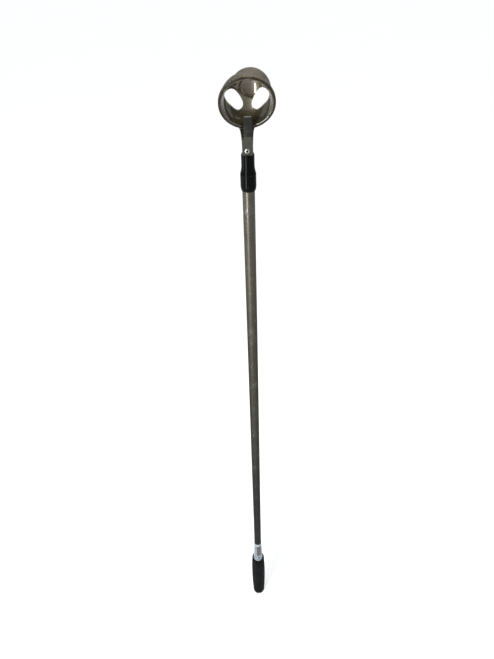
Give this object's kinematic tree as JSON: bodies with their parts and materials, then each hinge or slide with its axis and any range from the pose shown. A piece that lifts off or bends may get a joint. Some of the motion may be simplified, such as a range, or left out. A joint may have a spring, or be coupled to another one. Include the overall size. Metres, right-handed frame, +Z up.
{
  "type": "telescopic golf ball retriever",
  "caption": "Telescopic pole with a rubber grip and a windowed metal cup whose sprung finger holds a ball; nested tubes slide out and swivel.",
  "frame": {"origin": "centre of the flat butt face of the grip", "axes": "+Z up the pole to the head, -Y out of the cup's mouth, +X to the right of someone facing the mouth"},
  "size_m": [0.0515, 0.0395, 1.0135],
  "materials": {
    "grip_rubber": "matte",
    "core_plastic": "matte",
    "label_film": "satin",
    "plug_plastic": "matte",
    "bush_plastic": "matte",
    "tube_steel": "satin",
    "fitting_plastic": "gloss",
    "head_metal": "satin nickel",
    "spring_steel": "satin",
    "rivet_metal": "bright",
    "mandrel_steel": "dull"
  },
  "bodies": {
    "handle": {"grip_sleeve": "grip_rubber", "grip_core": "core_plastic", "label_wrap": "label_film", "outer_end_plug": "plug_plastic", "outer_tube": "tube_steel", "outer_mouth_bush": "bush_plastic"},
    "second_slider": {"second_tail_plug": "plug_plastic"},
    "second_section": {"second_tube": "tube_steel", "second_mouth_bush": "bush_plastic"},
    "third_slider": {"third_tail_plug": "plug_plastic"},
    "third_section": {"third_tube": "tube_steel", "third_mouth_bush": "bush_plastic"},
    "inner_slider": {"inner_tail_plug": "plug_plastic"},
    "head_section": {"inner_tube": "tube_steel", "tube_collar": "fitting_plastic", "head_socket": "fitting_plastic", "head_cup": "head_metal", "clip_base": "spring_steel", "clip_rivet": "rivet_metal", "rivet_mandrel": "mandrel_steel"},
    "spring_finger": {"clip_finger": "spring_steel"}
  },
  "joints": [
    {"name": "second_slide", "type": "slide", "parent": "handle", "child": "second_slider", "axis": [0, 0, 1], "range_m": [0, 0.815]},
    {"name": "second_swivel", "type": "hinge", "parent": "second_slider", "child": "second_section", "pos_m": [0, 0, 0.5], "axis": [0, 0, 1], "continuous": true},
    {"name": "third_slide", "type": "slide", "parent": "second_section", "child": "third_slider", "axis": [0, 0, 1], "range_m": [0, 0.791]},
    {"name": "third_swivel", "type": "hinge", "parent": "third_slider", "child": "third_section", "pos_m": [0, 0, 0.5], "axis": [0, 0, 1], "continuous": true},
    {"name": "inner_slide", "type": "slide", "parent": "third_section", "child": "inner_slider", "axis": [0, 0, 1], "range_m": [0, 0.767]},
    {"name": "inner_swivel", "type": "hinge", "parent": "inner_slider", "child": "head_section", "pos_m": [0, 0, 0.5], "axis": [0, 0, 1], "continuous": true},
    {"name": "finger_flex", "type": "hinge", "parent": "head_section", "child": "spring_finger", "pos_m": [0, -0.0044, 0.9582], "axis": [-1, 0, 0], "range_deg": [0, 33], "stiffness_Nm_per_rad": 0.08}
  ]
}
